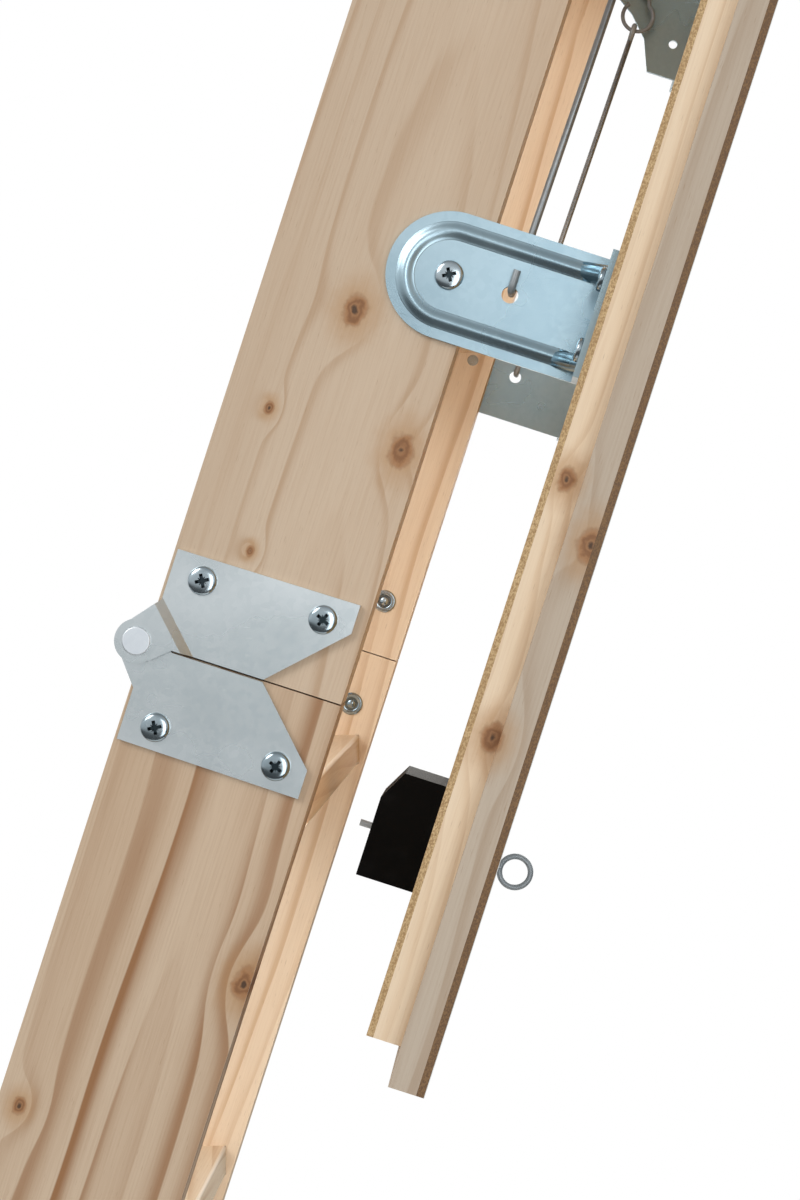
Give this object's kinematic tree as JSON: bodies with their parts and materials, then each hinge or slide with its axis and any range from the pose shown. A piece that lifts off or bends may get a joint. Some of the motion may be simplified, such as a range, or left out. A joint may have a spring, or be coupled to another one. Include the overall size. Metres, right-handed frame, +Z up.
{
  "type": "attic ladder",
  "caption": "Folding wooden attic ladder in hinged sections on an insulated ceiling hatch, with lift arms, springs and a latch.",
  "frame": {"origin": "centre of the ceiling opening, on the ceiling plane", "axes": "+Z up; +X towards the hinged end of the frame; the near side is -Y"},
  "size_m": [1.2, 0.6, 2.94],
  "materials": {
    "pine": "satin",
    "hardboard": "matte",
    "insulation": "matte",
    "seal_foam": "matte",
    "zinc_sheet": "satin",
    "fasteners": "polished",
    "satin_steel": "satin",
    "steel_wire": "satin",
    "spring_steel": "satin",
    "black_plastic": "matte",
    "rubber": "matte"
  },
  "bodies": {
    "frame": {"frame_side_near": "pine", "frame_side_far": "pine", "frame_end_hinged": "pine", "frame_end_lock": "pine", "frame_corner_screws": "fasteners", "stop_battens": "pine", "frame_seal": "seal_foam", "arm_post_near": "zinc_sheet", "arm_post_far": "zinc_sheet", "arm_post_screws": "fasteners", "striker": "zinc_sheet", "striker_screws": "fasteners", "hatch_hinge_fixed_leaves": "zinc_sheet", "hatch_hinge_pins": "zinc_sheet", "hinge_frame_screws": "fasteners"},
    "lever_near": {"lever_near": "zinc_sheet"},
    "lever_far": {"lever_far": "zinc_sheet"},
    "link_near": {"link_near": "zinc_sheet"},
    "link_far": {"link_far": "zinc_sheet"},
    "middle_section": {"middle_stile_near": "pine", "middle_stile_far": "pine", "middle_treads": "pine", "fold_1_lower_plates": "zinc_sheet", "fold_2_upper_plates": "zinc_sheet", "fold_2_pins": "satin_steel", "middle_bolts": "fasteners"},
    "lower_section": {"lower_stile_near": "pine", "lower_stile_far": "pine", "lower_treads": "pine", "fold_2_lower_plates": "zinc_sheet", "lower_bolts": "fasteners", "foot_caps": "rubber"},
    "pull_eye": {"pull_eye": "steel_wire"},
    "latch": {"latch_bolt": "zinc_sheet"},
    "hatch": {"hinge_hatch_screws": "fasteners", "hatch_outer_rails": "pine", "hatch_inner_rails": "pine", "hatch_insulation": "insulation", "hatch_attic_board": "hardboard", "hatch_room_board": "hardboard", "hatch_hinge_moving_leaves": "zinc_sheet", "lower_bracket_near": "zinc_sheet", "lower_bracket_far": "zinc_sheet", "upper_bracket_near": "zinc_sheet", "upper_bracket_far": "zinc_sheet", "bracket_screws": "fasteners", "upper_stile_near": "pine", "upper_stile_far": "pine", "upper_treads": "pine", "fold_1_upper_plates": "zinc_sheet", "fold_1_pins": "satin_steel", "upper_bolts": "fasteners", "stand_off_wood_screws": "fasteners", "tie_rods": "steel_wire", "tension_spring_near": "spring_steel", "tension_spring_far": "spring_steel", "lock_case": "black_plastic", "lock_base": "zinc_sheet", "lock_screws": "fasteners", "lock_spring": "spring_steel"}
  },
  "joints": [
    {"name": "hatch_hinge", "type": "hinge", "parent": "frame", "child": "hatch", "pos_m": [0.5785, 0, -0.006], "axis": [0, 1, 0], "range_deg": [0, 63.5], "deforming": ["tension_spring_near", "tension_spring_far"]},
    {"name": "fold_1", "type": "hinge", "parent": "hatch", "child": "middle_section", "pos_m": [0.10274, 0, -0.94734], "axis": [0, 1, 0], "range_deg": [0, 180]},
    {"name": "fold_2", "type": "hinge", "parent": "middle_section", "child": "lower_section", "pos_m": [-0.11039, 0, -1.88313], "axis": [0, 1, 0], "range_deg": [-180, 0]},
    {"name": "lever_near_pivot", "type": "hinge", "parent": "frame", "child": "lever_near", "pos_m": [0.52554, 0, 0.06677], "axis": [0, 1, 0], "range_deg": [0, 63.5]},
    {"name": "link_near_pivot", "type": "hinge", "parent": "hatch", "child": "link_near", "pos_m": [0.31359, 0, -0.50734], "axis": [0, 1, 0], "range_deg": [-63.5, 0]},
    {"name": "lever_far_pivot", "type": "hinge", "parent": "frame", "child": "lever_far", "pos_m": [0.52554, 0, 0.06677], "axis": [0, 1, 0], "range_deg": [0, 63.5]},
    {"name": "link_far_pivot", "type": "hinge", "parent": "hatch", "child": "link_far", "pos_m": [0.31359, 0, -0.50734], "axis": [0, 1, 0], "range_deg": [-63.5, 0]},
    {"name": "pull_eye_slide", "type": "slide", "parent": "hatch", "child": "pull_eye", "axis": [0.9516, 0, -0.3074], "range_m": [0, 0.006], "stiffness_N_per_m": 600, "springref_m": -0.004, "deforming": ["lock_spring"]},
    {"name": "latch_slide", "type": "slide", "parent": "hatch", "child": "latch", "axis": [0.3074, 0, 0.9516], "range_m": [0, 0.005]}
  ],
  "couplings": [
    {"joint": "fold_2", "follows": "fold_1", "ratio": -1},
    {"joint": "lever_near_pivot", "follows": "hatch_hinge", "ratio": 1},
    {"joint": "link_near_pivot", "follows": "hatch_hinge", "ratio": -1},
    {"joint": "lever_far_pivot", "follows": "hatch_hinge", "ratio": 1},
    {"joint": "link_far_pivot", "follows": "hatch_hinge", "ratio": -1},
    {"joint": "latch_slide", "follows": "pull_eye_slide", "ratio": 0.8333}
  ]
}
